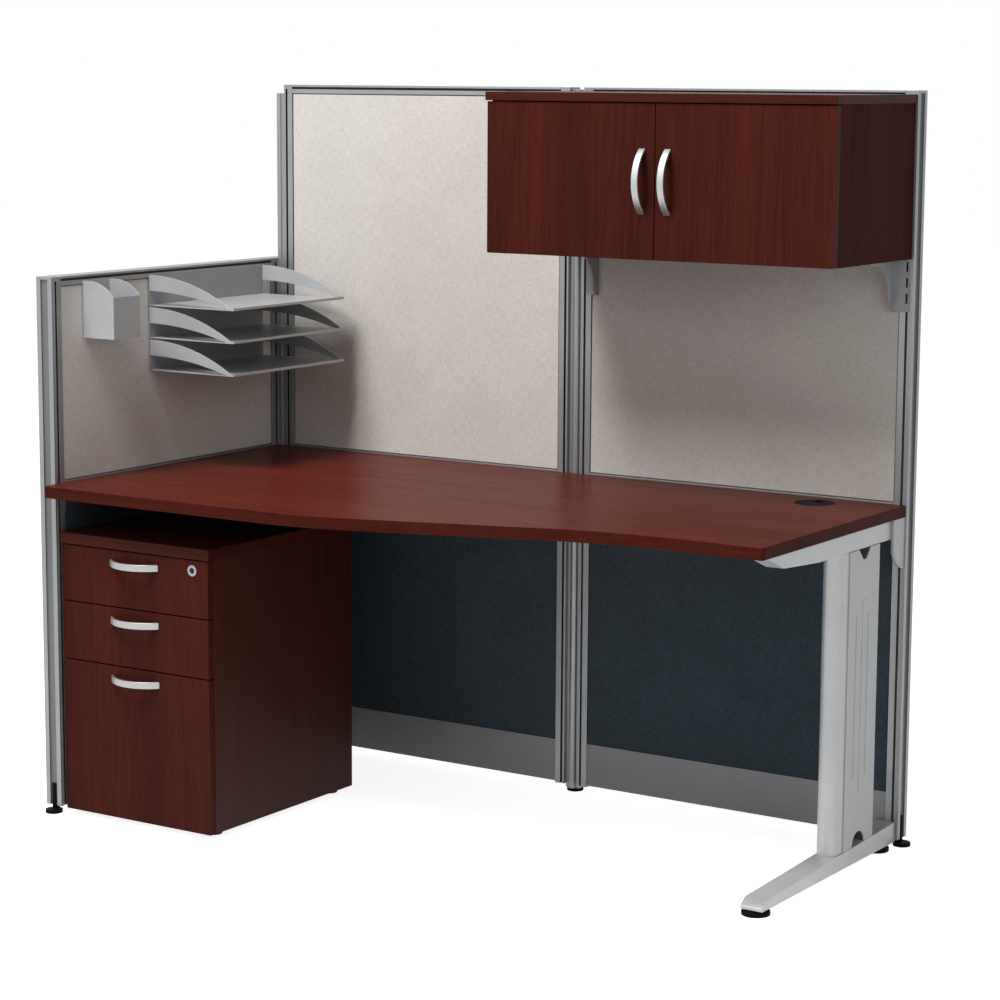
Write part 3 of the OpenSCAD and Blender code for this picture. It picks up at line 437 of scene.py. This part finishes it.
def frame_tests(node):
    """Tests for a panel frame's top grooves, side grooves and level bars."""
    run = RUN_OF_FRAME[node]
    low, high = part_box(node)

    def in_groove(centre):
        from_end = inward(centre, low, high, run)
        from_top = high.z - centre.z
        in_line = abs(from_end - GROOVE_INSET) < GROOVE_HALF or abs(from_top - GROOVE_INSET) < GROOVE_HALF
        return in_line and at_groove_depth(centre, low, high, run)

    def is_level(centre):
        return inward(centre, low, high, run) > STILE_WIDTH

    def in_top_groove(centre, normal):
        return in_groove(centre) and is_level(centre)

    def in_side_groove(centre, normal):
        return in_groove(centre) and not is_level(centre)

    def on_level_bar(centre, normal):
        return is_level(centre) and not in_groove(centre)

    return in_top_groove, in_side_groove, on_level_bar


# Side grooves are painted black as shade on the side and left frames and grey on the lit right frame; top
# grooves get dark grey painted shade.
for node, level_metal, side_groove in (
    ("side_frame", side_rail_metal, groove_deep_shade_black),
    ("left_frame", rail_metal, groove_deep_shade_black),
    ("right_frame", rail_metal, groove_half_shade_grey),
):
    finishes = (groove_shade_dark, side_groove, level_metal)
    dress(node, bar_metal, 0.7, others=list(zip(finishes, frame_tests(node))))

for node in ("side_upper_tile", "left_upper_tile", "right_upper_tile"):
    dress(node, linen, 2.2, 4)
for node in ("side_lower_tile", "left_lower_tile", "right_lower_tile"):
    dress(node, slate, 2.2, 4)
dress("kick_plates", kick_grey, 0.5)

dress("corner_post", bar_metal)
dress("middle_post", bar_metal, 0.5)

SLOT_HALF = 10.5 * MM
SLOT_ROOF = 7 * MM
SLOT_END_SHARE = 0.1


def slot_test(node, axis):
    """Test for the walls of the slot in an end trim, which opens along axis."""
    low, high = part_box(node)
    middle = (low + high) / 2
    across = 1 - axis
    step = (high - low)[axis] * SLOT_END_SHARE

    def in_slot(centre, normal):
        inside = low[axis] + step < centre[axis] < high[axis] - step
        near_middle = abs(centre[across] - middle[across]) < SLOT_HALF
        return inside and near_middle and centre.z < high.z - SLOT_ROOF

    return in_slot


# The slot walls get the darker aluminium as painted shade.
for node, axis in (("side_end_trim", 1), ("right_end_trim", 0)):
    dress(node, bar_metal, 0.6, others=[(slot_shaded_metal, slot_test(node, axis))])

CAP_ROOF = 4 * MM


def in_cap_groove(centre, normal):
    """Floors and walls of the grooves that run up into the corner caps."""
    for node, run in RUN_OF_FRAME.items():
        low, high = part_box(node)
        in_line = abs(inward(centre, low, high, run) - GROOVE_INSET) < GROOVE_HALF
        if in_line and at_groove_depth(centre, low, high, run) and centre.z < high.z - CAP_ROOF:
            return True
    return False


# The grooves in the corner caps are painted black as shade.
dress("corner_caps", bar_metal, others=[(groove_deep_shade_black, in_cap_groove)])
dress("panel_feet", black_plastic)

# Desktop

UPRIGHT_NORMAL_Z = 0.5


def on_desk_edge(centre, normal):
    """The desktop's upright faces."""
    return abs(normal.z) < UPRIGHT_NORMAL_Z


# The desktop's top gets the lighter copy as painted light and its edges the darker copy as painted shade.
dress("desktop", desk_top_lit_laminate, 1.2, 3, [(desk_edge_shaded_laminate, on_desk_edge)])
dress("cable_liner", black_plastic, 0.4)
dress("cable_cap", black_plastic, 0.4)

# Side leg

column_low, column_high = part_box("leg_column")
# The cable holes in the column: how far in they start from its low and high side
HOLE_FROM_X = (3 * MM, 1 * MM)
HOLE_FROM_Y = (60 * MM, 20 * MM)
# How far up from the column's bottom and down from its top they reach
HOLE_REACH = (80 * MM, 30 * MM)


def in_cable_hole(centre, normal):
    """Walls of the cable holes in the column, behind the cover."""
    inside = column_low.x + HOLE_FROM_X[0] < centre.x < column_high.x - HOLE_FROM_X[1]
    deep = column_low.y + HOLE_FROM_Y[0] < centre.y < column_high.y - HOLE_FROM_Y[1]
    low_hole = centre.z < column_low.z + HOLE_REACH[0]
    high_hole = centre.z > column_high.z - HOLE_REACH[1]
    return inside and deep and (low_hole or high_hole)


dress("leg_foot", leg_silver, 1.2, 3)
# The cable holes' walls are painted grey as shade.
dress("leg_column", leg_silver, 1.0, 3, [(hole_shade_grey, in_cable_hole)])
dress("leg_cover", cover_silver, 0.7)
dress("leg_arm", leg_silver, 1.5, 3)
dress("leg_discs", black_plastic, 1.0)

# Brackets

dress("desk_brackets", bracket_silver, 0.6)
# The side rail is painted dark as shade.
dress("desk_side_rail", drawer_steel_and_rail_shade, 0.6)
# The cabinet brackets get the darker paint as painted shade.
for node in ("cabinet_bracket_left", "cabinet_bracket_right"):
    dress(node, cabinet_bracket_shaded_grey)

# Overhead cabinet

dress("cabinet_top", case_top_laminate)
for node in ("cabinet_bottom", "cabinet_back"):
    dress(node, case_laminate, 0.4)
for node in ("cabinet_side_left", "cabinet_side_right"):
    dress(node, case_laminate)
for node in ("door_left", "door_right"):
    dress(node, door_laminate)
HANDLE_SHARP_DEGREES = 50
for node in ("door_handle_left", "door_handle_right"):
    dress(node, bow_metal, 1.6, 3, sharp=HANDLE_SHARP_DEGREES)
for node in ("hinge_plates", "hinge_arms_left", "hinge_arms_right"):
    dress(node, zinc, 0.5)

# Accessories

dress("tray_plate", plate_grey, 0.4)
dress("tray_shelves", tray_grey, 0.4)
dress("pencil_cup", tray_grey, 0.4)

# Pedestal

dress("pedestal_top", case_top_laminate)
for node in ("pedestal_sides", "pedestal_back", "pedestal_bottom"):
    dress(node, pedestal_laminate, 0.6)
dress("pedestal_feet", black_plastic)
dress("drawer_runners", zinc, 0.5)
for level in ("top", "middle", "bottom"):
    dress("drawer_front_" + level, door_laminate)
    dress("drawer_box_" + level, drawer_steel_and_rail_shade, 0.5)
    dress("drawer_handle_" + level, level_bow_metal, 1.6, 3, sharp=HANDLE_SHARP_DEGREES)

LOCK_RADIUS = 12 * MM
KEYWAY_RADIUS = 6.6 * MM
KEYWAY_SKIN = 0.1 * MM
KEYWAY_DEPTH = 7 * MM
lock_low, lock_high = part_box("lock_barrel")
lock_middle = Vector((lock_low.x + LOCK_RADIUS, lock_high.z - LOCK_RADIUS))


def in_keyway(centre, normal):
    """The recess round the keyway in the lock's face."""
    near_middle = (Vector((centre.x, centre.z)) - lock_middle).length < KEYWAY_RADIUS
    return near_middle and lock_low.y + KEYWAY_SKIN < centre.y < lock_low.y + KEYWAY_DEPTH


# The keyway recess is painted near black: the dark plug, and painted shade on the ring's inner wall.
dress("lock_barrel", chrome, 0.25, others=[(keyway_plug_and_shade, in_keyway)])


# Studio

AIR_LIGHT = 0.19
FLOOR_HALF_SIZE = 20
FLOOR_LIFT = 0.87

bpy.context.scene.view_settings.view_transform = "Standard"


def seen_rays(tree):
    """1 for rays that show the background: from the camera, off gloss and through glass."""
    ray = tree.nodes.new("ShaderNodeLightPath").outputs
    seen = maths(tree, "MAXIMUM", ray["Is Camera Ray"], ray["Is Glossy Ray"])
    return maths(tree, "MAXIMUM", seen, ray["Is Transmission Ray"])


world = bpy.data.worlds.new("studio_air")
bpy.context.scene.world = world
world.use_nodes = True
air = world.node_tree
soft_air = air.nodes["Background"]
soft_air.inputs["Color"].default_value = (0.97, 0.98, 1.0, 1)
soft_air.inputs["Strength"].default_value = AIR_LIGHT
white_air = air.nodes.new("ShaderNodeBackground")
white_air.inputs["Color"].default_value = WHITE
white_air.inputs["Strength"].default_value = 1.0
choose = air.nodes.new("ShaderNodeMixShader")
air.links.new(seen_rays(air), choose.inputs["Fac"])
air.links.new(soft_air.outputs["Background"], choose.inputs[1])
air.links.new(white_air.outputs["Background"], choose.inputs[2])
air.links.new(choose.outputs["Shader"], air.nodes["World Output"].inputs["Surface"])

# The floor shows white where the lamps reach it and keeps the workstation's shadow.
floor_shape = bmesh.new()
bmesh.ops.create_grid(floor_shape, x_segments=1, y_segments=1, size=FLOOR_HALF_SIZE)
floor_mesh = bpy.data.meshes.new("studio_floor")
floor_shape.to_mesh(floor_mesh)
floor_shape.free()
floor = bpy.data.objects.new("studio_floor", floor_mesh)
bpy.context.collection.objects.link(floor)
floor_paper = bpy.data.materials.new("floor_paper")
floor_paper.use_nodes = True
paper = floor_paper.node_tree
paper_face = paper.nodes["Principled BSDF"]
paper_face.inputs["Base Color"].default_value = (0.8, 0.8, 0.8, 1)
paper_face.inputs["Roughness"].default_value = 0.9
paper_face.inputs["Specular IOR Level"].default_value = 0.0
paper_face.inputs["Emission Color"].default_value = WHITE
lift = maths(paper, "MULTIPLY", seen_rays(paper), FLOOR_LIFT)
paper.links.new(lift, paper_face.inputs["Emission Strength"])
floor_mesh.materials.append(floor_paper)


def lamp(name, place, aim, size, power):
    """A soft square lamp at a place, turned to a point."""
    data = bpy.data.lights.new(name, "AREA")
    data.shape = "SQUARE"
    data.size = size
    data.energy = power
    made = bpy.data.objects.new(name, data)
    made.location = place
    made.rotation_mode = "QUATERNION"
    made.rotation_quaternion = (Vector(aim) - Vector(place)).to_track_quat("-Z", "Y")
    bpy.context.collection.objects.link(made)


lamp("front_lamp", place=(-0.6, -2.6, 5.0), aim=(0.1, 0.1, 0.9), size=1.8, power=265)
lamp("low_lamp", place=(-1.6, -5.0, 2.9), aim=(0.1, 0.0, 0.8), size=2.0, power=32)
lamp("right_lamp", place=(4.6, -2.4, 2.6), aim=(0.2, 0.0, 0.8), size=2.4, power=36)

# Camera: the photograph's own, solved from the corners of the panels, desktop and cabinet
CAMERA_PLACE = (3.2225, -4.827, 1.633)
YAW = math.radians(33.05)
PITCH = math.radians(8.87)
ROLL = math.radians(0.32)
SENSOR_WIDTH = 36.0
LENS_OVER_WIDTH = 2.744
camera_data = bpy.data.cameras.new("photo_camera")
camera_data.sensor_width = SENSOR_WIDTH
camera_data.lens = SENSOR_WIDTH * LENS_OVER_WIDTH
camera_data.clip_end = 60
camera = bpy.data.objects.new("photo_camera", camera_data)
bpy.context.collection.objects.link(camera)
ahead = Vector((-math.sin(YAW) * math.cos(PITCH), math.cos(YAW) * math.cos(PITCH), -math.sin(PITCH)))
level_right = Vector((math.cos(YAW), math.sin(YAW), 0))
upright = level_right.cross(ahead)
camera_right = level_right * math.cos(ROLL) + upright * math.sin(ROLL)
camera_up = camera_right.cross(ahead)
turn = Matrix((camera_right, camera_up, -ahead)).transposed().to_4x4()
camera.matrix_world = Matrix.Translation(CAMERA_PLACE) @ turn
bpy.context.scene.camera = camera
